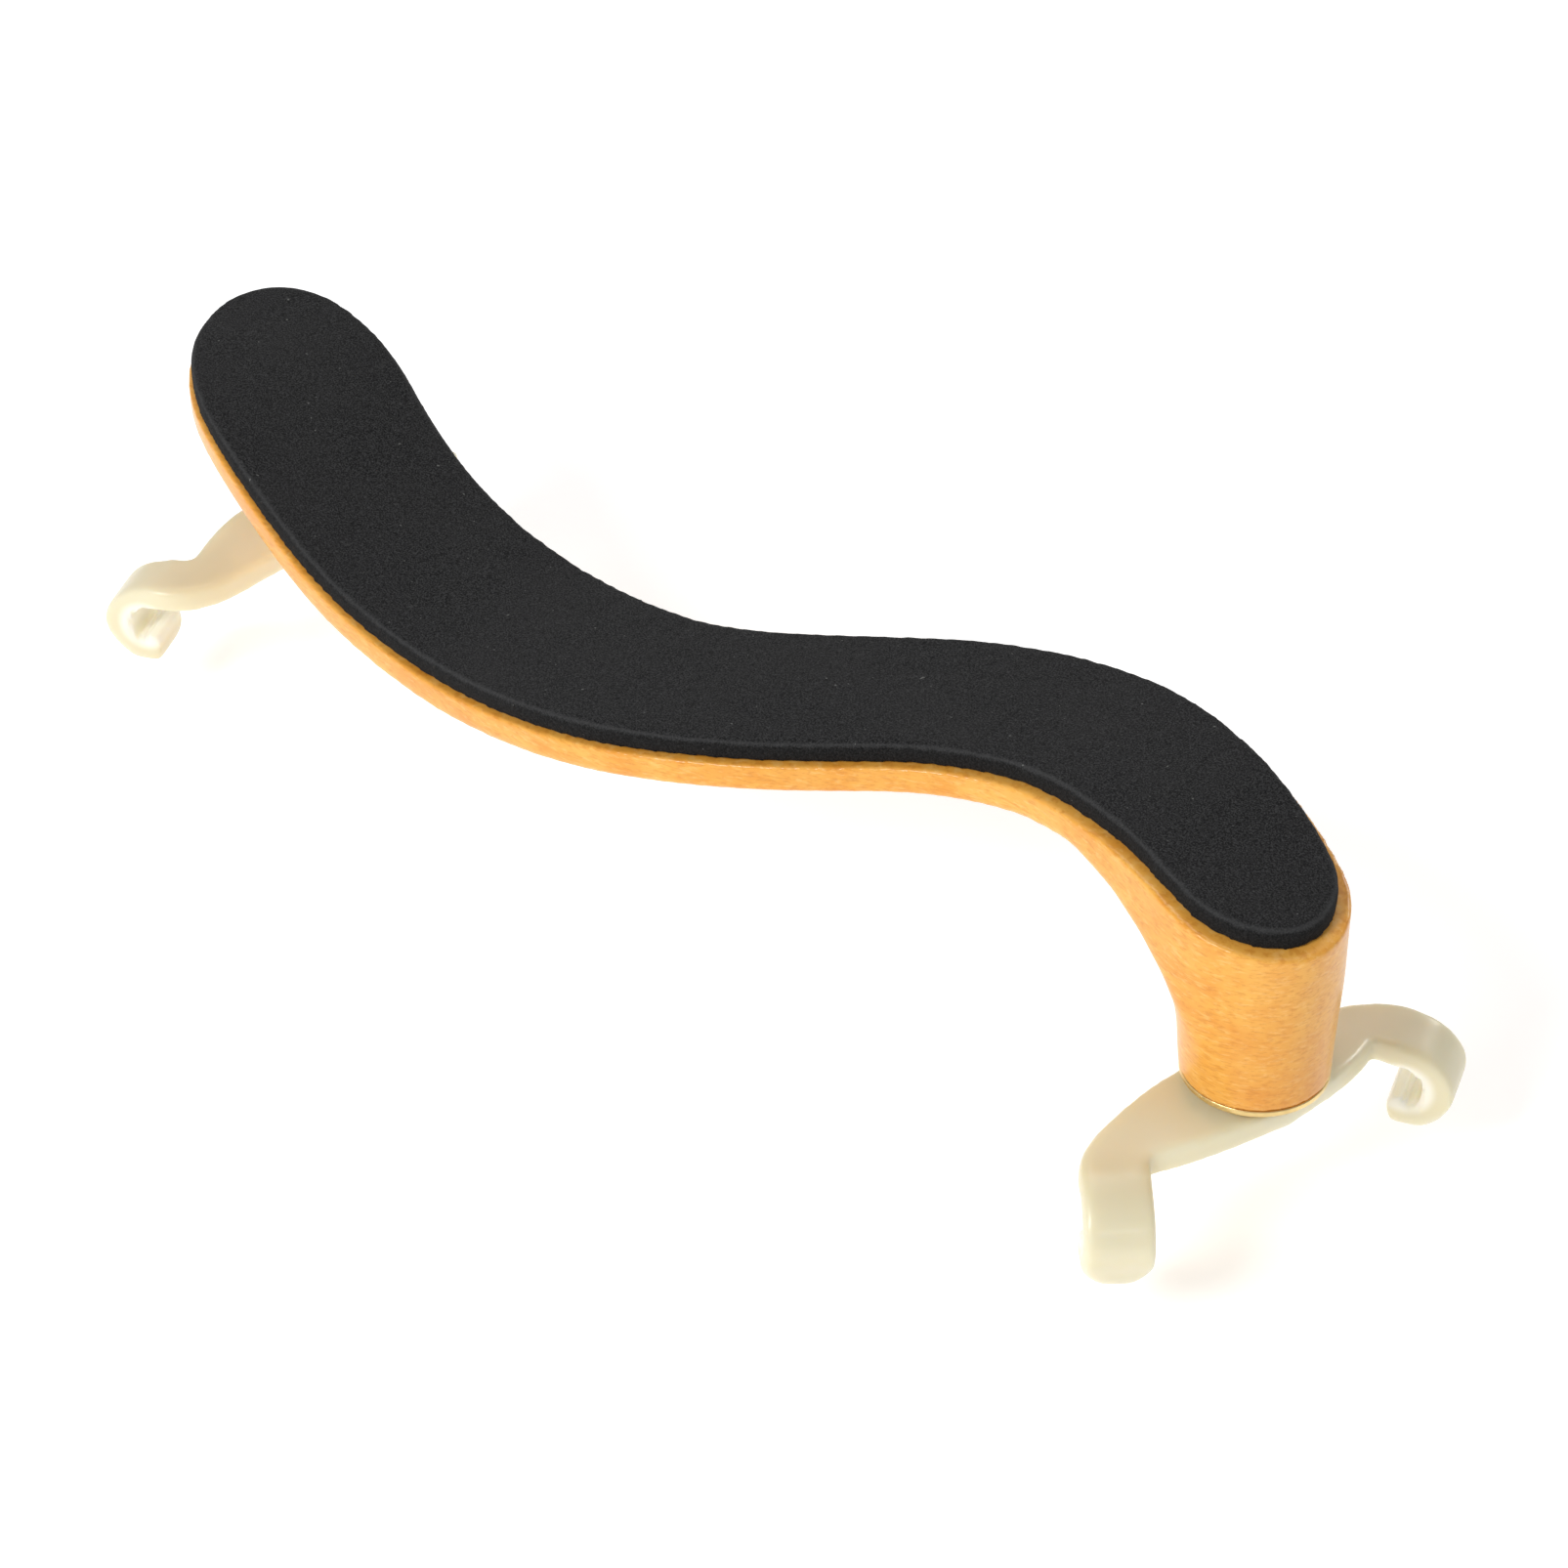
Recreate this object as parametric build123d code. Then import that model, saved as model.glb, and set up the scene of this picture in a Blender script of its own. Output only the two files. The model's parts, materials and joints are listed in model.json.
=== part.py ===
from build123d import *
from math import cos, hypot, pi, radians, sin
import os

# Violin shoulder rest. Millimetres, +Z up.
# It stands on its four claws as it would on the back of a violin: X runs along the bar
# from the wing end to the column end, Z = 0 is the plane under the claws, and the
# origin is the middle of the footprint.

# bar: one row for each station of the maple bar, from the wing tip to the column end
# x along the bar, y of its centre line, z of its top face, half the width of the pad
STATIONS = [
    (-117.0, 15.6, 43.4, 17.6),
    (-100.0, 4.9, 43.7, 17.2),
    (-83.0, -2.4, 40.0, 16.8),
    (-60.0, -8.2, 34.1, 16.4),
    (-36.0, -11.6, 32.9, 16.2),
    (-13.0, -13.8, 36.2, 15.9),
    (4.5, -10.9, 39.1, 15.7),
    (20.0, -3.2, 41.3, 15.4),
    (38.0, 7.0, 43.8, 14.9),
    (56.0, 11.0, 46.4, 14.2),
    (73.0, 8.6, 48.4, 13.2),
    (88.0, 3.6, 48.6, 12.2),
    (103.0, -3.0, 46.8, 10.7),
]
WING_TIP_X = -117.3  # tips of the pad in plan
COLUMN_TIP_X = 107.9
WING_ROUND = 30.5  # length of the elliptical rounding at each end of the pad
COLUMN_ROUND = 11.0
WOOD_THICKNESS = 4.8
PAD_THICKNESS = 3.2
GLUE_LINE = 0.1
LEDGE_WING = 0.4  # how far the wood stands out past the pad at each end
LEDGE_COLUMN = 2.0

# slopes of the centre line and of the top face are taken over this distance in x
SLOPE_STEP = 1.0
SIDE_POINTS = 16  # spans of the side view's two curves
BAND_OVERRUN = 7.0  # how far the side view's curves run past the tips
EDGE_POINTS = 15  # spans of each long edge of the plan
TIP_POINTS = 7  # spans of each quarter of a rounded end

# column and its brass plate
COLUMN_X = 100.2
COLUMN_Y = -1.7
PLATE_UNDER_Z = 18.9
PLATE_RADIUS = 10.4
PLATE_THICKNESS = 1.0
BUSH_RADIUS = 4.4
BUSH_TOP_Z = 24.2
COLUMN_BORE_TOP_Z = 36.0
COLUMN_DRIFT = 0.16  # sideways shift of a section, for each mm that it is longer than the foot
# height, reach of the section back along the bar, half its width
COLUMN_SECTIONS = [
    (PLATE_UNDER_Z, 2 * PLATE_RADIUS, PLATE_RADIUS),
    (23.0, 21.2, 10.8),
    (28.0, 21.4, 11.4),
    (32.0, 22.0, 12.1),
    (36.0, 23.8, 13.3),
    (39.0, 27.4, 15.2),
    (41.5, 33.0, 18.2),
    (45.0, 50.0, 25.5),
]

# wing plate: a brass strip on a flat land under the wing
WING_X = -98.8
WING_Y = 5.1
STRIP_TURN = -28.0  # degrees, along the bar's centre line
STRIP_LENGTH = 33.0
STRIP_WIDTH = 12.0
STRIP_THICKNESS = 2.0
STRIP_TOP_Z = 36.4
STRIP_HOLE_PITCH = 7.5
STRIP_SCREW_REACH = 13.2
LAND_MARGIN = 1.6
WING_BORE_TOP_Z = 42.3
SPARE_BORE_SHORTER = 1.2

# countersunk wood screws of both plates
SCREW_HEAD_RADIUS = 1.9
SCREW_SHANK_RADIUS = 0.9
SCREW_HEAD_EDGE = 0.3
SCREW_CONE = 1.0
SCREW_SLOT = 0.5
SCREW_LENGTH = 4.2
COLUMN_SCREW_REACH = 7.3

# threaded studs (M5) and the forks that they hold
STUD_RADIUS = 2.5
RUNNING_FIT = 0.05
STUD_HEAD_RADIUS = 4.6
STUD_HEAD_THICKNESS = 1.8
STUD_HEAD_UNDER_Z = 12.1
STUD_END_CHAMFER = 0.6
STUD_SLOT_WIDTH = 1.2
STUD_SLOT_DEPTH = 0.9
STUD_CLEARANCE_RADIUS = 2.9  # bores in the wood above each threaded hole
COLUMN_STUD_TOP_Z = 33.0
WING_STUD_TOP_Z = 40.6

FORK_TOP_Z = 17.6
FORK_THICKNESS = 4.2
HUB_RADIUS = 7.9
BOSS_RADIUS = 6.0
BOSS_UNDER_Z = 11.8
# the arms droop: distance from the stud's axis along the arm, and the drop there
ARM_DROOP = [(0.0, 0.0), (7.0, 0.15), (13.0, 0.8), (19.0, 2.0), (24.0, 2.6), (30.0, 2.75), (36.0, 2.8)]
# edges of an arm's plan, from the stud's axis: outward along the bar, and along the arm
ARM_INBOARD = [(-7.6, 0.0), (-7.7, 9.0), (-7.3, 17.0)]
ARM_OUTBOARD = [(5.3, 14.0), (7.1, 7.0), (7.6, 0.0)]

# claws: places in a claw are measured outward from the middle of its sole
CLAW_X = 5.9  # middle of the sole, from the stud's axis
CLAW_Y = 28.6
CLAW_TURN = 34.0  # degrees between the claw's outward direction and the fork's
CLAW_WIDTH = 9.7
CLAW_SOLE_ROUND = 2.2
CLAW_HEEL_CUT = -1.5  # where the cut across each corner of the heel meets the sole
CLAW_HEEL = 1.1
CLAW_TOE = -4.0
CLAW_ROOT = -6.0  # where the claw leaves the arm
CLAW_TOP_Z = 14.9
# side view of the claw: down its back, round its hooked toe, and up inside the slot
CLAW_BACK = [(-1.4, 14.1), (2.7, 11.2), (4.3, 7.7), (3.8, 4.7)]
CLAW_NOTCH = [(3.3, 4.3), (2.6, 1.7)]
CLAW_HOOK = [
    (-4.9, 1.8), (-5.3, 3.7), (-4.8, 5.3), (-3.8, 5.9), (-2.8, 5.3),
    (-2.1, 4.5), (-1.0, 4.6), (-0.3, 6.4), (-0.7, 9.2), (-3.0, 10.6),
]

COLUMN_FORK_TURN = -10.8
WING_FORK_TURN = 172.1

# moves the whole model so that the middle of its footprint is the origin
PLACE_X = 1.0
PLACE_Y = -1.7

FAR = 200.0  # longer than any part of the model


def between(x, column):
    """A smooth value of one column of STATIONS at x, by Hermite interpolation."""
    rows = STATIONS
    last = len(rows) - 2
    i = min(max(sum(x > r[0] for r in rows) - 1, 0), last)

    def slope(k):
        a = rows[max(k - 1, 0)]
        b = rows[min(k + 1, len(rows) - 1)]
        return (b[column] - a[column]) / (b[0] - a[0])

    span = rows[i + 1][0] - rows[i][0]
    t = (x - rows[i][0]) / span
    if t < 0 or t > 1:
        end = rows[0] if t < 0 else rows[-1]
        return end[column] + slope(0 if t < 0 else len(rows) - 1) * (x - end[0])
    h0 = (1 + 2 * t) * (1 - t) ** 2
    h1 = t * (1 - t) ** 2
    h2 = t * t * (3 - 2 * t)
    h3 = t * t * (t - 1)
    ends = h0 * rows[i][column] + h2 * rows[i + 1][column]
    return ends + span * (h1 * slope(i) + h3 * slope(i + 1))


def edge_point(x, half, side):
    """The point beside the centre line at x, half a width away on one side of it."""
    dy = (between(x + SLOPE_STEP / 2, 1) - between(x - SLOPE_STEP / 2, 1)) / SLOPE_STEP
    n = hypot(1.0, dy)
    return (x - side * half * dy / n, between(x, 1) + side * half / n)


def outline(wing_margin, column_margin):
    """The closed plan outline of the pad, grown by a margin at each end."""
    x0 = WING_TIP_X - wing_margin
    x1 = COLUMN_TIP_X + column_margin
    round0 = WING_ROUND + wing_margin
    round1 = COLUMN_ROUND + column_margin
    points = []
    for side in (1, -1):
        row = []
        for k in range(1, TIP_POINTS):
            turn = k * pi / 2 / TIP_POINTS
            row.append((x0 + round0 * (1 - cos(turn)), sin(turn)))
        start = x0 + round0
        length = x1 - round1 - start
        for k in range(EDGE_POINTS + 1):
            row.append((start + length * k / EDGE_POINTS, 1.0))
        for k in range(TIP_POINTS - 1, 0, -1):
            turn = k * pi / 2 / TIP_POINTS
            row.append((x1 - round1 * (1 - cos(turn)), sin(turn)))
        edge = []
        for x, fullness in row:
            share = (x - x0) / (x1 - x0)
            half = between(x, 3) + wing_margin + (column_margin - wing_margin) * share
            edge.append(edge_point(x, half * fullness, side))
        tip = (x0, between(x0, 1)) if side > 0 else (x1, between(x1, 1))
        points += [tip] + (edge if side > 0 else edge[::-1])
    return make_face(Spline(points, periodic=True))


def lifted(x, height):
    """The point of the bar's side view that lies a height above its top face at x."""
    dz = (between(x + SLOPE_STEP / 2, 2) - between(x - SLOPE_STEP / 2, 2)) / SLOPE_STEP
    n = hypot(1.0, dz)
    return (x - height * dz / n, between(x, 2) + height / n)


def side_band(low, high):
    """A slab that follows the bar's top face, between two heights above it."""
    x0 = WING_TIP_X - BAND_OVERRUN
    x1 = COLUMN_TIP_X + BAND_OVERRUN
    xs = [x0 + (x1 - x0) * k / SIDE_POINTS for k in range(SIDE_POINTS + 1)]
    upper = [lifted(x, high) for x in xs]
    lower = [lifted(x, low) for x in xs]
    wire = Wire([
        Spline(upper),
        Line(upper[-1], lower[-1]),
        Spline(lower),
        Line(lower[0], upper[0]),
    ])
    return extrude(Plane.XZ * make_face(wire), FAR / 2, both=True)


def column_body():
    """The column: sections that grow from the plate's circle into the bar's end."""
    outboard = COLUMN_X + PLATE_RADIUS
    rings = []
    for z, reach, half in COLUMN_SECTIONS:
        middle = outboard - reach / 2
        drift = COLUMN_DRIFT * (reach / 2 - PLATE_RADIUS)
        ring = Ellipse(reach / 2, half)
        rings.append(Plane((middle, COLUMN_Y + drift, z)) * ring)
    return loft(rings, ruled=True)


def place_on_strip(offset, z):
    """A point on the wing strip's own centre line, at a distance from the fork's hole."""
    turn = radians(STRIP_TURN)
    return (WING_X + offset * cos(turn), WING_Y + offset * sin(turn), z)


def land(depth):
    """The flat land under the wing that the strip is screwed to, upward or downward."""
    plan = SlotOverall(STRIP_LENGTH + 2 * LAND_MARGIN, STRIP_WIDTH + 2 * LAND_MARGIN)
    base = Plane((WING_X, WING_Y, STRIP_TOP_Z)) * Rot(0, 0, STRIP_TURN) * plan
    return extrude(base, depth)


def column_screw_spots():
    spots = []
    for k in range(2):
        turn = radians(90 + 180 * k)
        x = COLUMN_X + COLUMN_SCREW_REACH * cos(turn)
        y = COLUMN_Y + COLUMN_SCREW_REACH * sin(turn)
        spots.append((x, y, PLATE_UNDER_Z))
    return spots


def wing_screw_spots():
    under = STRIP_TOP_Z - STRIP_THICKNESS
    return [place_on_strip(side * STRIP_SCREW_REACH, under) for side in (-1, 1)]


def upright(x, y, z, radius, height):
    """A cylinder that stands on the point x, y, z."""
    return Pos(x, y, z + height / 2) * Cylinder(radius, height)


def screw_shape(spot):
    """A countersunk screw driven upward from its head at spot."""
    x, y, z = spot
    under = z + SCREW_HEAD_EDGE
    head = upright(x, y, z, SCREW_HEAD_RADIUS, SCREW_HEAD_EDGE)
    cone = Pos(x, y, under + SCREW_CONE / 2) * Cone(
        SCREW_HEAD_RADIUS, SCREW_SHANK_RADIUS, SCREW_CONE
    )
    shank = upright(x, y, under + SCREW_CONE, SCREW_SHANK_RADIUS, SCREW_LENGTH)
    return head + cone + shank


def screw(spot):
    """The screw with its driver slot."""
    x, y, z = spot
    slot = Pos(x, y, z) * Box(2 * FAR, SCREW_SLOT, 2 * SCREW_SLOT)
    return screw_shape(spot) - slot


def make_bar():
    plan = outline(LEDGE_WING, LEDGE_COLUMN)
    prism = extrude(plan, FAR)
    wing = prism & side_band(-WOOD_THICKNESS, 0)
    under_top = side_band(-2 * FAR, -WOOD_THICKNESS / 2)
    column = column_body() & prism & under_top
    bar = wing + column + (land(WOOD_THICKNESS) & prism & under_top)
    bar -= land(-WOOD_THICKNESS)
    bar -= upright(COLUMN_X, COLUMN_Y, 0, 2 * PLATE_RADIUS, PLATE_UNDER_Z + PLATE_THICKNESS)
    bar -= upright(COLUMN_X, COLUMN_Y, 0, BUSH_RADIUS, BUSH_TOP_Z)
    bar -= upright(COLUMN_X, COLUMN_Y, 0, STUD_CLEARANCE_RADIUS, COLUMN_BORE_TOP_Z)
    for k in (-1, 0, 1):
        x, y, z = place_on_strip(k * STRIP_HOLE_PITCH, 0)
        bar -= upright(x, y, z, STUD_CLEARANCE_RADIUS, WING_BORE_TOP_Z - abs(k) * SPARE_BORE_SHORTER)
    for spot in column_screw_spots() + wing_screw_spots():
        bar -= screw_shape(spot)
    return bar


def make_pad():
    return extrude(outline(0, 0), FAR) & side_band(GLUE_LINE, GLUE_LINE + PAD_THICKNESS)


def make_column_plate():
    plate = upright(COLUMN_X, COLUMN_Y, PLATE_UNDER_Z, PLATE_RADIUS, PLATE_THICKNESS)
    plate += upright(COLUMN_X, COLUMN_Y, PLATE_UNDER_Z, BUSH_RADIUS, BUSH_TOP_Z - PLATE_UNDER_Z)
    plate -= upright(COLUMN_X, COLUMN_Y, 0, STUD_RADIUS + RUNNING_FIT, FAR)
    for spot in column_screw_spots():
        plate -= screw_shape(spot)
    return plate


def make_wing_plate():
    under = STRIP_TOP_Z - STRIP_THICKNESS
    base = Plane((WING_X, WING_Y, under)) * Rot(0, 0, STRIP_TURN) * SlotOverall(STRIP_LENGTH, STRIP_WIDTH)
    plate = extrude(base, STRIP_THICKNESS)
    for k in (-1, 0, 1):
        x, y, z = place_on_strip(k * STRIP_HOLE_PITCH, 0)
        plate -= upright(x, y, z, STUD_RADIUS + RUNNING_FIT, FAR)
    for spot in wing_screw_spots():
        plate -= screw_shape(spot)
    return plate


def make_stud(x, y, top):
    """A threaded stud with a round slotted head, put in from under the fork."""
    stud = upright(x, y, STUD_HEAD_UNDER_Z, STUD_RADIUS, top - STUD_HEAD_UNDER_Z)
    stud += upright(x, y, STUD_HEAD_UNDER_Z, STUD_HEAD_RADIUS, STUD_HEAD_THICKNESS)
    stud -= Pos(x, y, STUD_HEAD_UNDER_Z) * Box(FAR, STUD_SLOT_WIDTH, 2 * STUD_SLOT_DEPTH)
    return chamfer(stud.edges().sort_by(Axis.Z)[-1:], STUD_END_CHAMFER)


def claw_profile():
    """The side view of a claw: x outward from the middle of its sole, y up."""
    heel = (CLAW_HEEL, 0.0)
    toe = (CLAW_TOE, 0.0)
    top = (CLAW_ROOT, CLAW_TOP_Z)
    under = (CLAW_ROOT, CLAW_TOP_Z - FORK_THICKNESS)
    return make_face([
        Spline([top, *CLAW_BACK], tangents=[(1, -0.1), (-0.2, -1)]),
        Line(CLAW_BACK[-1], CLAW_NOTCH[0]),
        Spline([*CLAW_NOTCH, heel]),
        Line(heel, toe),
        Spline([toe, *CLAW_HOOK, under], tangents=[(-1, 0.3), (-1, 0)]),
        Line(under, top),
    ])


def arm_band():
    """A slab that follows the arms' droop, on both sides of the stud's axis."""
    top = [(y, FORK_TOP_Z - drop) for y, drop in ARM_DROOP]
    row = [(-y, z) for y, z in top[:0:-1]] + top
    under = [(y, z - FORK_THICKNESS) for y, z in row]
    band = make_face([
        Spline(row),
        Line(row[-1], under[-1]),
        Spline(under),
        Line(under[0], row[0]),
    ])
    return extrude(Plane.YZ * band, FAR / 2, both=True)


def half_plan(side):
    """Half of the fork's plan, from the hub out to the inboard end of one claw."""
    turn = radians(CLAW_TURN)
    out = Vector(cos(turn), side * sin(turn))
    across = Vector(sin(turn), -side * cos(turn))
    sole = Vector(CLAW_X, side * CLAW_Y)

    def at(p, w):
        spot = sole + out * p + across * w
        return (spot.X, spot.Y)

    half = CLAW_WIDTH / 2
    inboard = [(x, side * y) for x, y in ARM_INBOARD]
    outboard = [(x, side * y) for x, y in ARM_OUTBOARD]
    reach = -4.0  # how far the arm's plan runs into the claw
    elbow = at(-10.4, -3.8)
    neck = at(-7.6, half)
    return make_face([
        Spline([*inboard, elbow, at(reach, -half)]),
        Polyline(at(reach, -half), at(reach, half), neck),
        Spline([neck, *outboard]),
        Line(outboard[-1], inboard[0]),
    ])


def heel_cut(side):
    """What is cut away across one lower corner of a claw's heel."""
    corner = Plane(origin=(CLAW_HEEL_CUT, side * CLAW_WIDTH / 2, 0), z_dir=(1, side, -1.1))
    return extrude(corner * Rectangle(FAR, FAR), FAR)


def claw(side):
    """One claw, standing at its own place on the fork."""
    turn = side * CLAW_TURN
    solid = extrude(Plane.XZ * claw_profile(), CLAW_WIDTH / 2, both=True)
    front = Pos(0, CLAW_TOP_Z) * Rectangle(CLAW_WIDTH, 2 * CLAW_TOP_Z)
    sole = front.vertices().group_by(Axis.Y)[0]
    solid &= extrude(Plane.YZ * fillet(sole, CLAW_SOLE_ROUND), FAR / 2, both=True)
    solid -= heel_cut(1) + heel_cut(-1)
    return Pos(CLAW_X, side * CLAW_Y, 0) * Rot(0, 0, turn) * solid


def make_fork(x, y, turn):
    """A one-piece fork, made about the stud's axis and then put in its place."""
    under = FORK_TOP_Z - FORK_THICKNESS
    fork = upright(0, 0, under, HUB_RADIUS, FORK_THICKNESS)
    fork += upright(0, 0, BOSS_UNDER_Z, BOSS_RADIUS, FORK_TOP_Z - BOSS_UNDER_Z)
    for side in (1, -1):
        fork += extrude(half_plan(side), FORK_TOP_Z) & arm_band()
        fork += claw(side)
    fork -= upright(0, 0, 0, STUD_RADIUS + RUNNING_FIT, FAR)
    pocket_top = STUD_HEAD_UNDER_Z + STUD_HEAD_THICKNESS
    fork -= upright(0, 0, 0, STUD_HEAD_RADIUS + RUNNING_FIT, pocket_top)
    return Pos(x, y, 0) * Rot(0, 0, turn) * fork


def make_parts():
    return {
        "bar": make_bar(),
        "shoulder_pad": make_pad(),
        "column_plate": make_column_plate(),
        "column_plate_screws": Compound([screw(s) for s in column_screw_spots()]),
        "wing_plate": make_wing_plate(),
        "wing_plate_screws": Compound([screw(s) for s in wing_screw_spots()]),
        "column_stud": make_stud(COLUMN_X, COLUMN_Y, COLUMN_STUD_TOP_Z),
        "wing_stud": make_stud(WING_X, WING_Y, WING_STUD_TOP_Z),
        "column_fork": make_fork(COLUMN_X, COLUMN_Y, COLUMN_FORK_TURN),
        "wing_fork": make_fork(WING_X, WING_Y, WING_FORK_TURN),
    }


os.makedirs("parts", exist_ok=True)
for name, shape in make_parts().items():
    export_step(Pos(PLACE_X, PLACE_Y, 0) * shape, f"parts/{name}.step")
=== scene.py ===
import json
from math import cos, pi, radians, sin

import bpy
import numpy as np
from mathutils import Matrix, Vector, kdtree


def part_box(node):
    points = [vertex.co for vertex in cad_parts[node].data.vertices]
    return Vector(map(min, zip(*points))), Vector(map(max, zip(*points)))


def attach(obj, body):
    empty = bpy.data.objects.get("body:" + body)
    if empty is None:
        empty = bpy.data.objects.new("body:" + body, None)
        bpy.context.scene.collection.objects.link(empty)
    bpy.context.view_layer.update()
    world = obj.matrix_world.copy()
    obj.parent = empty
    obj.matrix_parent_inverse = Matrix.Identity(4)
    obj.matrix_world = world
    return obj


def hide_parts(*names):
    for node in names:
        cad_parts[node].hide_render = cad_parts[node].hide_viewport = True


# The violin shoulder rest's looks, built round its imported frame. Metres, +Z up.
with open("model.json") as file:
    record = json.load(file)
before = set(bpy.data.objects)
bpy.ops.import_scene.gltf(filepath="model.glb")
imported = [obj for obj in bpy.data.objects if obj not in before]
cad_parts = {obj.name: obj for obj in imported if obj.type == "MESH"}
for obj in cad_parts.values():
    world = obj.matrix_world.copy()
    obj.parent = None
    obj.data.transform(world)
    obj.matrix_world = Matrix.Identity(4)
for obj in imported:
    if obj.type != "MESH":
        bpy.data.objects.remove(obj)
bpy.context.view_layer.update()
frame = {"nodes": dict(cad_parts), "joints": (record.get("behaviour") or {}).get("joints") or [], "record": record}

MM = 0.001
RECORD = frame["record"]
JOINTS = {j["name"]: j for j in frame["joints"]}
MOUNTS = {m["name"]: m for m in RECORD["mounts"]}

# meshes: points nearer than this are one, and the voxel that each piece is remade with
WELD_GAP = 0.005 * MM
BAR_VOXEL = 0.38 * MM
PAD_VOXEL = 0.40 * MM
FORK_VOXEL = 0.30 * MM
BRASS_VOXEL = 0.16 * MM
SCREW_VOXEL = 0.11 * MM

# smoothing: the share of its way that a point moves in a round, and the rounds, a few all over
# and more where a piece's edges are rounded
HALF = 0.5
ALL_OVER_ROUNDS = 2
BAR_ROUNDS = 46
PAD_ROUNDS = 16
FORK_ROUNDS = 44
PLATE_ROUNDS = 3
SCREW_ROUNDS = 2

# where the rounding starts and where it is full: under the bar's upper face, over its foot,
# from the studs' axes in the bar and in a fork, and by how far up a point of the pad faces;
# and how far up a point of the bar faces that belongs to its upper face
BAR_EDGE = (0.9 * MM, 2.4 * MM)
BAR_FOOT = (0.3 * MM, 1.6 * MM)
BAR_BORE = (3.6 * MM, 5.0 * MM)
FORK_SEAT = (4.9 * MM, 6.4 * MM)
PAD_FACING = (-0.6, 0.2)
UPWARD = 0.75

# unevenness of the foam: grain size and height
FOAM_NAP = (2.6 * MM, 0.14 * MM)
FOAM_WAVE = (14 * MM, 0.25 * MM)

# studs: an M5 thread, with the slope of its flanks and the flat at its root as shares; and heights
# over the stud's bottom, where the rod starts, where the head ends, and above which points within
# that share of the head's radius are the CAD rod's and are pulled down to the head's end
THREAD_PITCH = 0.8 * MM
THREAD_DEPTH = 0.45 * MM
THREAD_FLANK = 1.25
THREAD_ROOT = 0.12
THREAD_TURN_POINTS = 48
THREAD_ROW = 0.1 * MM
THREAD_CHAMFER = 0.6 * MM
ROD_RADIUS = 2.5 * MM
ROD_START = 1.2 * MM
HEAD_END = 1.7 * MM
HEAD_LIMIT = 1.9 * MM
HEAD_ROD_SHARE = 0.72

# names of the pad's point values: 1 on its upper rim, which is painted with a highlight, and 1 on
# its side wall, which is painted with shade; and by how far up a point faces, where the rim starts,
# where it ends, and where the wall ends
RIM_HIGHLIGHT_SHARE = "rim_highlight_share"
WALL_SHADE_SHARE = "wall_shade_share"
RIM_START = (0.25, 0.65)
RIM_END = (0.82, 0.96)
WALL_END = (0.15, 0.55)

# name of the forks' point values: 1 on the ribbed surfaces inside the claws' slots, which are
# painted paler as painted light against the shade in them; the slot axis's distance in from its
# mount; where the slot's marks fade, away from its axis and along it; and the ribs, which stand only
# where a point faces the axis
SLOT_LIGHT_SHARE = "slot_light_share"
SLOT_INSET = 2.3 * MM
SLOT_REACH = (3.4 * MM, 5.0 * MM)
SLOT_HALF_WIDTH = (6.0 * MM, 7.0 * MM)
RIB_PITCH = 1.5 * MM
RIB_HEIGHT = 0.14 * MM
RIB_FACING = (0.3, 0.8)
NO_REACH = 0.01 * MM

# camera: its direction, its distance from the point that it is aimed at, and its lens
AZIMUTH = 42.7
ELEVATION = 37.11
DISTANCE = 0.684
AIM = Vector((0.0035, 0.0077, 0.0112))
LENS = 104.2
SENSOR = 36.0

# studio: the floor's half side and its clearance under the forks' lowest reach, and the world's
# strength; each light's azimuth from the camera's, elevation, distance, size and power
FLOOR_HALF = 3.0
FLOOR_CLEARANCE = 0.2 * MM
WORLD_STRENGTH = 0.39
LIGHTS = {
    "key_light": (-44, 40, 1.4, 0.50, 10.3),
    "front_light": (12, 30, 1.6, 0.22, 0.7),
    "rim_light": (135, 24, 1.3, 0.30, 1.8),
    "back_light": (175, 60, 1.5, 0.8, 4.2),
}

EVEN = (1.0, 1.0, 1.0)
WHITE = (1.0, 1.0, 1.0, 1.0)


# ---------------------------------------------------------------- mesh helpers


def add_object(name, mesh):
    obj = bpy.data.objects.new(name, mesh)
    bpy.context.scene.collection.objects.link(obj)
    return obj


def copy_of(node, name):
    """A free copy of a CAD node, without its materials."""
    mesh = frame["nodes"][node].data.copy()
    mesh.materials.clear()
    return add_object(name, mesh)


def apply_modifiers(obj):
    graph = bpy.context.evaluated_depsgraph_get()
    mesh = bpy.data.meshes.new_from_object(obj.evaluated_get(graph))
    obj.modifiers.clear()
    obj.data = mesh


def remake(obj, voxel):
    """Welds the mesh and remakes it as even, closed quads."""
    weld = obj.modifiers.new("weld", "WELD")
    weld.merge_threshold = WELD_GAP
    remesh = obj.modifiers.new("remesh", "REMESH")
    remesh.mode = "VOXEL"
    remesh.voxel_size = voxel
    remesh.use_smooth_shade = True
    apply_modifiers(obj)


def points_of(mesh):
    co = np.empty(len(mesh.vertices) * 3)
    mesh.vertices.foreach_get("co", co)
    return co.reshape(-1, 3)


def normals_of(mesh):
    normal = np.empty(len(mesh.vertices) * 3)
    mesh.vertices.foreach_get("normal", normal)
    return normal.reshape(-1, 3)


def set_points(mesh, co):
    mesh.vertices.foreach_set("co", co.ravel())
    mesh.update()


def relax_all(mesh, rounds):
    relax(mesh, np.full(len(mesh.vertices), HALF), rounds)


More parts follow.
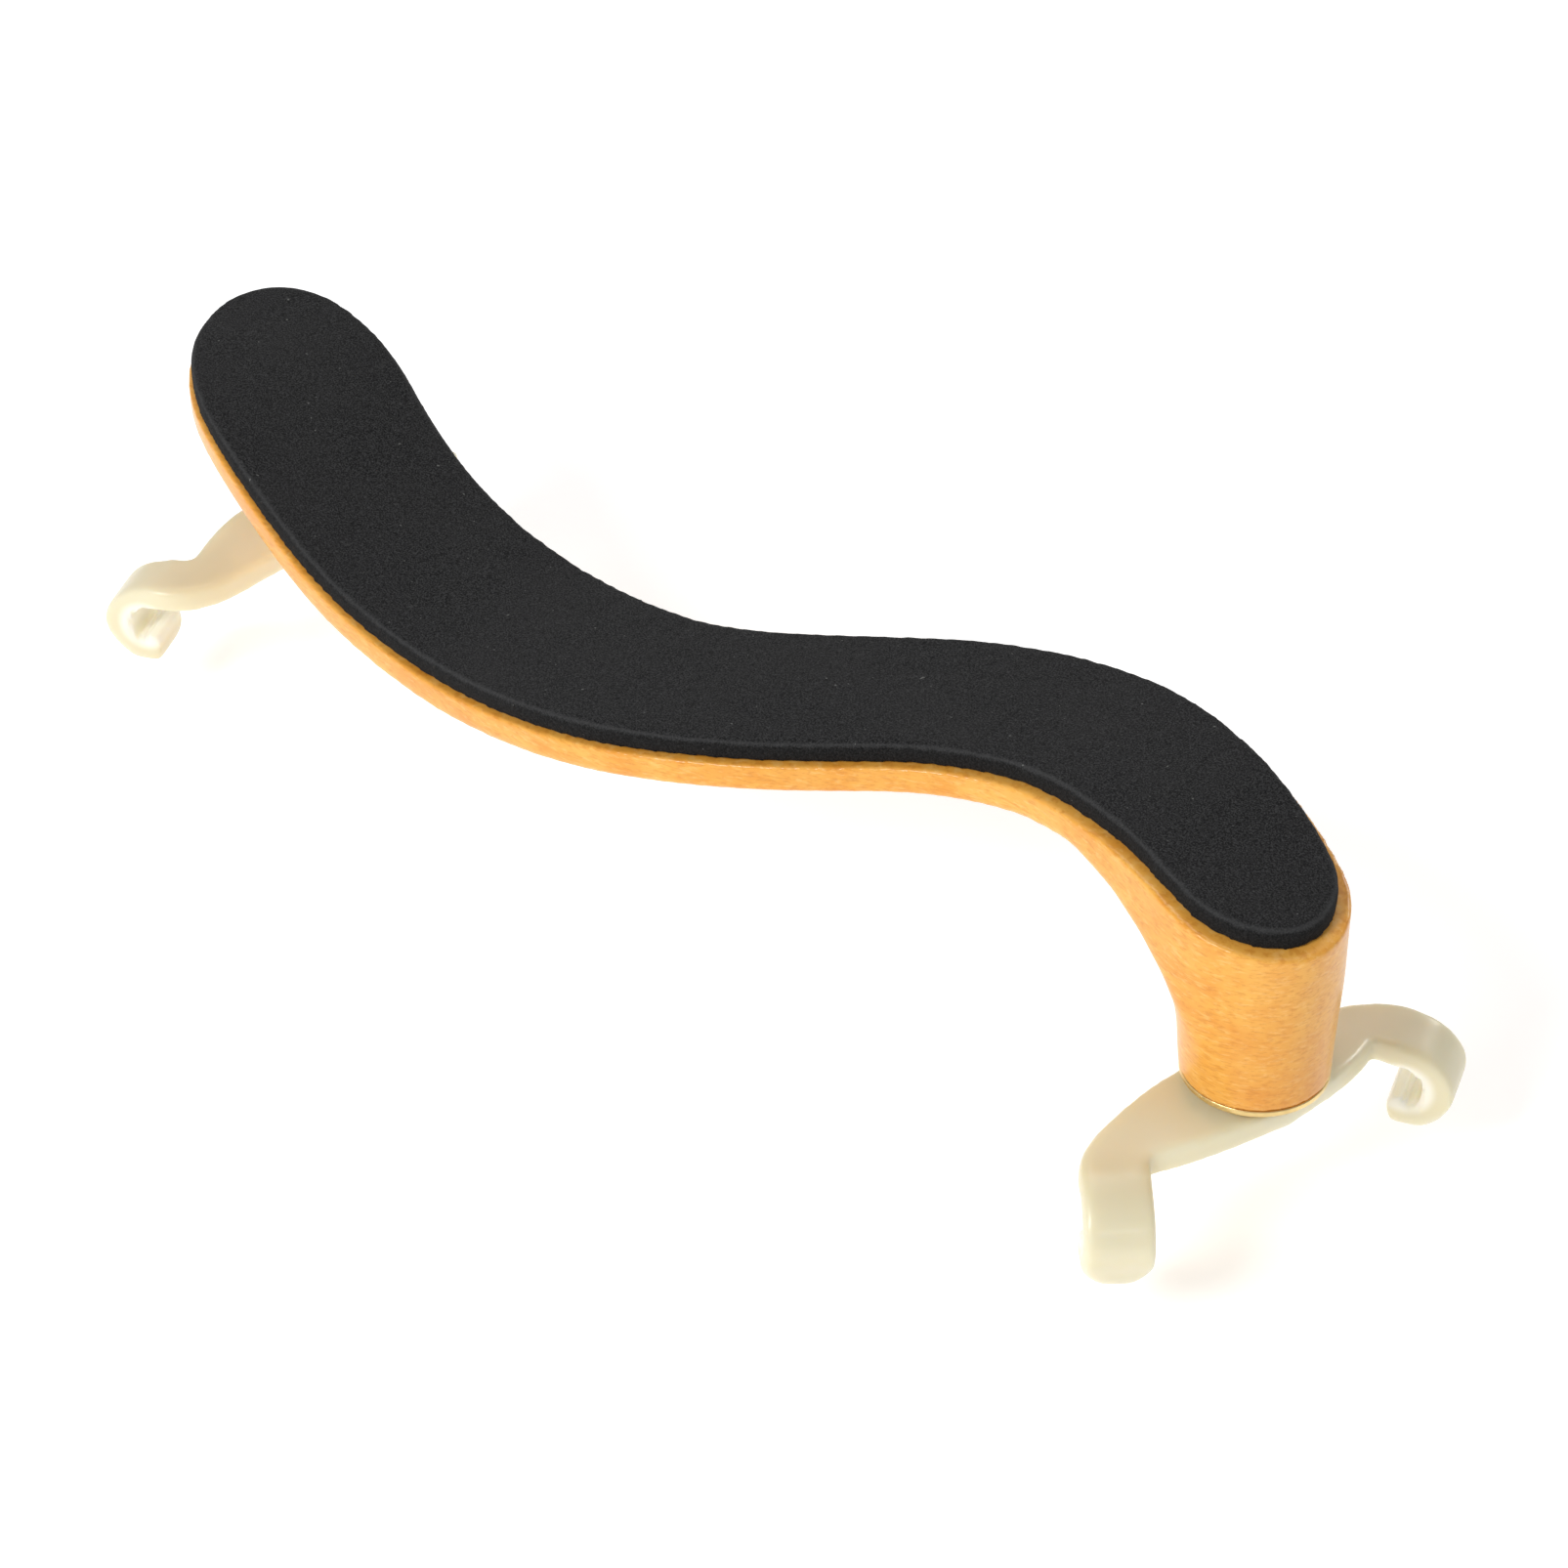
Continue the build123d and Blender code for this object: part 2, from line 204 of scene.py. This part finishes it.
def relax(mesh, weight, rounds):
    """Moves each point towards its neighbours' middle, by its weight, several times."""
    co = points_of(mesh)
    pairs = np.empty(len(mesh.edges) * 2, np.int64)
    mesh.edges.foreach_get("vertices", pairs)
    a, b = pairs.reshape(-1, 2).T
    size = len(co)
    count = np.bincount(a, minlength=size) + np.bincount(b, minlength=size)
    for _ in range(rounds):
        total = np.empty_like(co)
        for axis in range(3):
            total[:, axis] = np.bincount(a, co[b, axis], size) + np.bincount(b, co[a, axis], size)
        co += weight[:, None] * (total / count[:, None] - co)
    set_points(mesh, co)


def ramp(value, low, high):
    """0 below low, 1 above high, and smooth between them."""
    t = np.clip((value - low) / (high - low), 0, 1)
    return t * t * (3 - 2 * t)


def displace(obj, size, strength):
    """Moves the surface in and out with a procedural noise of that grain size."""
    texture = bpy.data.textures.new(obj.name + "_noise", "CLOUDS")
    texture.noise_scale = size
    modifier = obj.modifiers.new("noise", "DISPLACE")
    modifier.texture = texture
    modifier.texture_coords = "LOCAL"
    modifier.strength = strength
    modifier.mid_level = 0.5
    apply_modifiers(obj)


# ---------------------------------------------------------------- materials


def new_material(name):
    material = bpy.data.materials.new(name)
    material.use_nodes = True
    return material, material.node_tree.nodes, material.node_tree.links


def shader(nodes):
    return nodes["Principled BSDF"]


def stretched(nodes, links, scale):
    """Object coordinates with a scale of their own along each axis."""
    coordinates = nodes.new("ShaderNodeTexCoord")
    mapping = nodes.new("ShaderNodeMapping")
    mapping.inputs["Scale"].default_value = scale
    links.new(coordinates.outputs["Object"], mapping.inputs["Vector"])
    return mapping.outputs["Vector"]


def noise(nodes, links, vector, scale, detail, roughness):
    node = nodes.new("ShaderNodeTexNoise")
    node.inputs["Scale"].default_value = scale
    node.inputs["Detail"].default_value = detail
    node.inputs["Roughness"].default_value = roughness
    links.new(vector, node.inputs["Vector"])
    return node.outputs["Fac"]


def between(nodes, links, value, low, high, to_low=0.0, to_high=1.0):
    """value from low to high, mapped and held to to_low to to_high."""
    node = nodes.new("ShaderNodeMapRange")
    node.inputs["From Min"].default_value = low
    node.inputs["From Max"].default_value = high
    node.inputs["To Min"].default_value = to_low
    node.inputs["To Max"].default_value = to_high
    links.new(value, node.inputs["Value"])
    return node.outputs["Result"]


def mix(nodes, links, share, first, second):
    """A colour between two, each a colour or another node's output."""
    node = nodes.new("ShaderNodeMix")
    node.data_type = "RGBA"
    links.new(share, node.inputs["Factor"])
    for socket, value in (("A", first), ("B", second)):
        inputs = [i for i in node.inputs if i.name == socket and i.type == "RGBA"]
        if isinstance(value, tuple):
            inputs[0].default_value = (*value, 1.0)
        else:
            links.new(value, inputs[0])
    return [o for o in node.outputs if o.type == "RGBA"][0]


def tint(nodes, links, colour, value, span, share, second):
    """The colour, mixed with a second one by up to share as value goes through its span."""
    return mix(nodes, links, between(nodes, links, value, *span, 0.0, share), colour, second)


def point_value(nodes, name):
    node = nodes.new("ShaderNodeAttribute")
    node.attribute_name = name
    return node.outputs["Fac"]


def bump(nodes, links, height, distance, strength, under=None):
    node = nodes.new("ShaderNodeBump")
    node.inputs["Distance"].default_value = distance
    node.inputs["Strength"].default_value = strength
    links.new(height, node.inputs["Height"])
    if under is not None:
        links.new(under, node.inputs["Normal"])
    return node.outputs["Normal"]


def maple():
    """Amber-varnished maple: long grain, dark flecks and a faint curl across the grain."""
    deep, light = (0.77, 0.30, 0.030), (0.88, 0.43, 0.066)
    curl_tint, fleck_tint = (0.93, 0.53, 0.12), (0.60, 0.20, 0.016)
    pale_tint, cloud_tint = (0.96, 0.59, 0.19), (0.66, 0.23, 0.02)
    material, nodes, links = new_material("maple")
    surface = shader(nodes)
    grain_space = stretched(nodes, links, (0.14, 1.0, 1.0))
    fleck_space = stretched(nodes, links, (0.22, 0.30, 1.0))
    pale_space = stretched(nodes, links, (0.25, 0.33, 1.0))
    curl_space = stretched(nodes, links, (1.0, 0.25, 0.25))
    even = stretched(nodes, links, EVEN)

    grain = noise(nodes, links, grain_space, 420, 5, 0.6)
    curl = noise(nodes, links, curl_space, 150, 2, 0.5)
    fleck = noise(nodes, links, fleck_space, 2900, 3, 0.6)
    pale = noise(nodes, links, pale_space, 2000, 3, 0.6)
    cloud = noise(nodes, links, even, 28, 2, 0.5)
    colour = mix(nodes, links, between(nodes, links, grain, 0.3, 0.7), deep, light)
    colour = tint(nodes, links, colour, curl, (0.40, 0.62), 0.35, curl_tint)
    colour = tint(nodes, links, colour, fleck, (0.50, 0.64), 0.46, fleck_tint)
    colour = tint(nodes, links, colour, pale, (0.54, 0.66), 0.4, pale_tint)
    colour = tint(nodes, links, colour, cloud, (0.45, 0.75), 0.35, cloud_tint)
    links.new(colour, surface.inputs["Base Color"])

    links.new(between(nodes, links, grain, 0.3, 0.7, 0.30, 0.42), surface.inputs["Roughness"])
    links.new(bump(nodes, links, grain, 0.03 * MM, 0.4), surface.inputs["Normal"])
    surface.inputs["Coat Weight"].default_value = 0.45
    surface.inputs["Coat Roughness"].default_value = 0.20
    surface.inputs["Specular IOR Level"].default_value = 0.2
    return material


def foam():
    """Black closed-cell foam with a fine pored skin, a painted highlight on its rim, painted shade on its side
    wall and a little lint.
    """
    pit, skin = (0.005, 0.005, 0.0053), (0.046, 0.046, 0.047)
    # the rim's lighter grey is a painted highlight, and the side wall's near black is painted shade
    worn_tint, rim_highlight_tint = (0.030, 0.029, 0.029), (0.055, 0.055, 0.056)
    wall_shade_tint, lint_tint = (0.006, 0.006, 0.006), (0.22, 0.22, 0.21)
    material, nodes, links = new_material("foam")
    surface = shader(nodes)
    even = stretched(nodes, links, EVEN)

    pores = noise(nodes, links, even, 4200, 2, 0.7)
    cells = noise(nodes, links, even, 1500, 3, 0.6)
    worn = noise(nodes, links, even, 60, 3, 0.5)
    lint = noise(nodes, links, even, 1500, 0, 0.5)
    colour = mix(nodes, links, between(nodes, links, pores, 0.42, 0.64), pit, skin)
    colour = tint(nodes, links, colour, worn, (0.45, 0.8), 0.3, worn_tint)
    # painted highlight on the rounded rim and painted shade on the side wall, by how far up each point faces
    colour = tint(nodes, links, colour, point_value(nodes, RIM_HIGHLIGHT_SHARE), (0.0, 1.0), 0.6, rim_highlight_tint)
    colour = tint(nodes, links, colour, point_value(nodes, WALL_SHADE_SHARE), (0.0, 1.0), 0.6, wall_shade_tint)
    colour = tint(nodes, links, colour, lint, (0.85, 0.88), 0.5, lint_tint)
    links.new(colour, surface.inputs["Base Color"])

    surface.inputs["Roughness"].default_value = 0.95
    surface.inputs["Specular IOR Level"].default_value = 0.08
    surface.inputs["Sheen Weight"].default_value = 0.03
    surface.inputs["Sheen Roughness"].default_value = 0.6
    fine = bump(nodes, links, pores, 0.12 * MM, 0.9)
    links.new(bump(nodes, links, cells, 0.15 * MM, 0.7, fine), surface.inputs["Normal"])
    return material


def polymer():
    """Translucent cream moulded polymer, with a slow drift of tone and slots painted paler, as painted light
    against their shade.
    """
    # the slots' near white is painted light, set against the shade that falls inside them
    deep, light, slot_light_tint = (0.73, 0.67, 0.46), (0.79, 0.74, 0.55), (0.95, 0.93, 0.84)
    material, nodes, links = new_material("moulded_polymer")
    surface = shader(nodes)
    even = stretched(nodes, links, EVEN)
    flow = noise(nodes, links, even, 60, 1, 0.4)
    haze = noise(nodes, links, even, 150, 2, 0.4)
    colour = mix(nodes, links, between(nodes, links, flow, 0.3, 0.7), deep, light)
    # painted light: the slots' insides are made paler against their shade
    colour = tint(nodes, links, colour, point_value(nodes, SLOT_LIGHT_SHARE), (0.0, 1.0), 0.85, slot_light_tint)
    links.new(colour, surface.inputs["Base Color"])

    links.new(between(nodes, links, haze, 0.3, 0.7, 0.32, 0.42), surface.inputs["Roughness"])
    surface.inputs["Subsurface Weight"].default_value = 0.8
    surface.inputs["Subsurface Radius"].default_value = (1.0, 0.9, 0.65)
    surface.inputs["Subsurface Scale"].default_value = 3.0 * MM
    surface.inputs["Coat Weight"].default_value = 0.22
    surface.inputs["Coat Roughness"].default_value = 0.14
    links.new(bump(nodes, links, haze, 0.15 * MM, 0.25), surface.inputs["Normal"])
    return material


def brass(name, colour, dull):
    """Machined brass with fine tool marks and a little tarnish."""
    material, nodes, links = new_material(name)
    surface = shader(nodes)
    surface.inputs["Metallic"].default_value = 1.0
    marks = noise(nodes, links, stretched(nodes, links, (1.0, 1.0, 6.0)), 1800, 2, 0.6)
    tarnish = noise(nodes, links, stretched(nodes, links, EVEN), 160, 4, 0.6)
    dark = tuple(c * f for c, f in zip(colour, (0.62, 0.55, 0.45)))
    tarnished = tint(nodes, links, colour, tarnish, (0.45, 0.75), 0.8, dark)
    links.new(tarnished, surface.inputs["Base Color"])
    roughness = between(nodes, links, tarnish, 0.3, 0.7, dull - 0.08, dull + 0.10)
    links.new(roughness, surface.inputs["Roughness"])
    links.new(bump(nodes, links, marks, 0.02 * MM, 0.5), surface.inputs["Normal"])
    return material


def floor_material():
    """White paper that glows a little, so that the shadows on it stay faint."""
    material, nodes, links = new_material("studio_floor")
    surface = shader(nodes)
    paper = noise(nodes, links, stretched(nodes, links, EVEN), 400, 2, 0.5)
    colour = mix(nodes, links, paper, (0.96, 0.96, 0.96), (0.98, 0.98, 0.98))
    links.new(colour, surface.inputs["Base Color"])
    surface.inputs["Roughness"].default_value = 0.9
    surface.inputs["Specular IOR Level"].default_value = 0.1
    surface.inputs["Emission Color"].default_value = WHITE
    surface.inputs["Emission Strength"].default_value = 0.38
    return material


# ---------------------------------------------------------------- pieces


def settle(obj, body, slot, material, *nodes):
    """Gives a finished piece its material and its body, and hides the CAD nodes that it stands for."""
    obj.data.materials.clear()
    obj.data.materials.append(material)
    for polygon in obj.data.polygons:
        polygon.use_smooth = True
    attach(obj, body)
    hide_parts(*nodes)


def distance_from_axis(co, joint):
    x, y, _ = JOINTS[joint]["pos_m"]
    return np.hypot(co[:, 0] - x, co[:, 1] - y)


def depth_below_top(co, normal):
    """How far each point lies under the part of the upward surface nearest to it in plan."""
    upward = np.flatnonzero(normal[:, 2] > UPWARD)
    tree = kdtree.KDTree(len(upward))
    for k, index in enumerate(upward):
        tree.insert((co[index, 0], co[index, 1], 0.0), k)
    tree.balance()
    depth = np.empty(len(co))
    for k, (x, y, z) in enumerate(co):
        _, nearest, _ = tree.find((x, y, 0.0))
        depth[k] = co[upward[nearest], 2] - z
    return depth


def make_bar(material):
    """The maple bar, with its lower edges well rounded and its top edges just broken."""
    obj = copy_of("bar", "maple_bar")
    remake(obj, BAR_VOXEL)
    mesh = obj.data
    relax_all(mesh, ALL_OVER_ROUNDS)
    co = points_of(mesh)
    weight = HALF * ramp(depth_below_top(co, normals_of(mesh)), *BAR_EDGE)
    weight *= ramp(co[:, 2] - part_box("bar")[0].z, *BAR_FOOT)
    for joint in ("column_fork_turn", "wing_fork_turn"):
        weight *= ramp(distance_from_axis(co, joint), *BAR_BORE)
    relax(mesh, weight, BAR_ROUNDS)
    settle(obj, "root", "maple", material, "bar")


def set_values(mesh, name, values):
    layer = mesh.attributes.new(name, "FLOAT", "POINT")
    layer.data.foreach_set("value", values)


def mark_rim_highlight_and_wall_shade(mesh):
    """Marks the pad's rounded rim for a painted highlight and its side wall for painted shade."""
    level = normals_of(mesh)[:, 2]
    set_values(mesh, RIM_HIGHLIGHT_SHARE, ramp(level, *RIM_START) * (1 - ramp(level, *RIM_END)))
    set_values(mesh, WALL_SHADE_SHARE, 1 - ramp(level, *WALL_END))


def make_pad(material):
    """The foam pad, with a rounded upper edge and a slightly ragged cut lower edge."""
    obj = copy_of("shoulder_pad", "foam_pad")
    remake(obj, PAD_VOXEL)
    mesh = obj.data
    relax_all(mesh, ALL_OVER_ROUNDS)
    relax(mesh, HALF * ramp(normals_of(mesh)[:, 2], *PAD_FACING), PAD_ROUNDS)
    displace(obj, *FOAM_NAP)
    displace(obj, *FOAM_WAVE)
    mark_rim_highlight_and_wall_shade(obj.data)
    settle(obj, "root", "foam", material, "shoulder_pad")


def slot_places(side):
    """The two slots of a fork: a point on each slot's axis, and its inward direction."""
    places = []
    for mount in (MOUNTS[side + "_near_claw"], MOUNTS[side + "_far_claw"]):
        inward = np.array(mount["axis"])
        places.append((np.array(mount["pos_m"]) + SLOT_INSET * inward, inward))
    return places


def rib_slots(mesh, side):
    """Ribs the inside of both slots, and marks their surfaces for the painted light that makes them paler."""
    co = points_of(mesh)
    normal = normals_of(mesh)
    # where the slots get painted light against their shade
    share = np.zeros(len(co))
    for centre, inward in slot_places(side):
        away = co - centre
        across = np.cross(inward, (0.0, 0.0, 1.0))
        away -= (away @ across)[:, None] * across
        reach = np.linalg.norm(away, axis=1)
        facing = -(normal * away).sum(1) / np.maximum(reach, NO_REACH)
        near = 1 - ramp(reach, *SLOT_REACH)
        along = np.abs((co - centre) @ across)
        near *= 1 - ramp(along, *SLOT_HALF_WIDTH)
        share = np.maximum(share, near)
        angle = np.arctan2(away[:, 2], away @ inward)
        rib = np.cos(angle * reach / RIB_PITCH * 2 * pi)
        co += (RIB_HEIGHT * rib * near * ramp(facing, *RIB_FACING))[:, None] * normal
    set_points(mesh, co)
    set_values(mesh, SLOT_LIGHT_SHARE, share)


def make_fork(side, material):
    """A moulded fork with soft edges, ribbed slots in its claws and its seat left true."""
    obj = copy_of(side + "_fork", side + "_moulded_fork")
    remake(obj, FORK_VOXEL)
    mesh = obj.data
    relax_all(mesh, ALL_OVER_ROUNDS)
    away = distance_from_axis(points_of(mesh), side + "_fork_turn")
    relax(mesh, HALF * ramp(away, *FORK_SEAT), FORK_ROUNDS)
    rib_slots(mesh, side)
    settle(obj, side + "_fork", "moulded_polymer", material, side + "_fork")


def thread(centre, low, high, radius):
    """Points and faces of a threaded rod with a chamfered upper end, closed at both ends."""
    rows = int((high - low) / THREAD_ROW) + 1
    turn = np.arange(THREAD_TURN_POINTS) / THREAD_TURN_POINTS
    heights = np.linspace(low, high, rows)
    share = np.mod(heights[:, None] / THREAD_PITCH - turn[None, :], 1.0)
    ridge = np.clip(THREAD_FLANK * np.abs(2 * share - 1) - THREAD_ROOT, 0, 1)
    reach = radius - THREAD_DEPTH * (1 - ridge)
    chamfer = np.maximum(0, heights[:, None] - (high - THREAD_CHAMFER))
    reach = np.minimum(reach, radius - chamfer)
    angle = 2 * pi * turn
    x = centre[0] + reach * np.cos(angle)
    y = centre[1] + reach * np.sin(angle)
    z = np.repeat(heights[:, None], THREAD_TURN_POINTS, 1)
    co = np.stack([x, y, z], 2).reshape(-1, 3).tolist()
    faces = []
    for row in range(rows - 1):
        for k in range(THREAD_TURN_POINTS):
            near = row * THREAD_TURN_POINTS + k
            after = row * THREAD_TURN_POINTS + (k + 1) % THREAD_TURN_POINTS
            faces.append((near, after, after + THREAD_TURN_POINTS, near + THREAD_TURN_POINTS))
    faces.append(tuple(reversed(range(THREAD_TURN_POINTS))))
    faces.append(tuple(range((rows - 1) * THREAD_TURN_POINTS, rows * THREAD_TURN_POINTS)))
    return co, faces


def make_stud(side, material):
    """A threaded stud: the CAD node's head, on a rod that carries a real thread."""
    node = side + "_stud"
    low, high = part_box(node)
    head = copy_of(node, side + "_stud_head")
    remake(head, SCREW_VOXEL)
    co = points_of(head.data)
    reach = distance_from_axis(co, side + "_fork_turn")
    head_radius = (high.x - low.x) / 2
    rod = (reach < HEAD_ROD_SHARE * head_radius) & (co[:, 2] > low.z + HEAD_LIMIT)
    co[rod, 2] = low.z + HEAD_END
    set_points(head.data, co)
    x, y, _ = JOINTS[side + "_fork_turn"]["pos_m"]
    rod_co, rod_faces = thread((x, y), low.z + ROD_START, high.z, ROD_RADIUS)
    mesh = bpy.data.meshes.new(side + "_stud_rod")
    mesh.from_pydata(rod_co, [], rod_faces)
    rod_obj = add_object(side + "_threaded_rod", mesh)
    settle(rod_obj, node, "brass_stud", material, node)
    settle(head, node, "brass_stud", material, node)


def make_softened(node, name, slot, material, voxel, rounds):
    """A CAD piece fixed to the bar, with its edges just broken."""
    obj = copy_of(node, name)
    remake(obj, voxel)
    relax_all(obj.data, rounds)
    settle(obj, "root", slot, material, node)


# ---------------------------------------------------------------- studio


def make_floor():
    """A plain pale floor, as low as the forks reach when their studs are screwed right out."""
    travels = [j["range_m"][1] for j in RECORD["behaviour"]["joints"] if j["type"] == "slide"]
    level = -max(travels) - FLOOR_CLEARANCE
    mesh = bpy.data.meshes.new("floor")
    signs = ((-1, -1), (1, -1), (1, 1), (-1, 1))
    corners = [(x * FLOOR_HALF, y * FLOOR_HALF, level) for x, y in signs]
    mesh.from_pydata(corners, [], [(0, 1, 2, 3)])
    mesh.materials.append(floor_material())
    floor = add_object("studio_floor", mesh)


def direction(azimuth, elevation):
    """Unit vector towards a place seen at that azimuth, from -Y towards +X, and elevation."""
    a = radians(azimuth)
    e = radians(elevation)
    return Vector((sin(a) * cos(e), -cos(a) * cos(e), sin(e)))


def add_light(name, azimuth, elevation, distance, size, power):
    light = bpy.data.lights.new(name, "AREA")
    light.shape = "DISK"
    light.size = size
    light.energy = power
    obj = add_object(name, light)
    away = direction(azimuth, elevation)
    obj.location = away * distance
    obj.rotation_euler = away.to_track_quat("Z", "Y").to_euler()


def make_studio():
    world = bpy.data.worlds.new("studio")
    world.use_nodes = True
    background = world.node_tree.nodes["Background"]
    background.inputs["Color"].default_value = WHITE
    background.inputs["Strength"].default_value = WORLD_STRENGTH
    bpy.context.scene.world = world
    for name, (turn, elevation, distance, size, power) in LIGHTS.items():
        add_light(name, AZIMUTH + turn, elevation, distance, size, power)
    bpy.context.scene.view_settings.view_transform = "Standard"


def make_camera():
    data = bpy.data.cameras.new("camera")
    data.lens = LENS
    data.sensor_width = SENSOR
    data.clip_start = 0.01
    camera = add_object("camera", data)
    back = direction(AZIMUTH, ELEVATION)
    camera.location = AIM + back * DISTANCE
    camera.rotation_euler = (-back).to_track_quat("-Z", "Y").to_euler()
    bpy.context.scene.camera = camera


def make_object():
    plate_brass = brass("brass", (0.80, 0.60, 0.27), 0.30)
    screw_brass = brass("brass_screw", (0.86, 0.66, 0.30), 0.24)
    stud_brass = brass("brass_stud", (0.83, 0.62, 0.27), 0.26)
    cream = polymer()
    make_bar(maple())
    make_pad(foam())
    for side in ("column", "wing"):
        make_fork(side, cream)
        make_stud(side, stud_brass)
        plate = side + "_plate"
        make_softened(plate, side + "_brass_plate", "brass", plate_brass, BRASS_VOXEL, PLATE_ROUNDS)
        screws = side + "_plate_screws"
        make_softened(screws, screws + "_turned", "brass_screw", screw_brass, SCREW_VOXEL, SCREW_ROUNDS)


make_object()
make_floor()
make_studio()
make_camera()

bpy.context.view_layer.update()
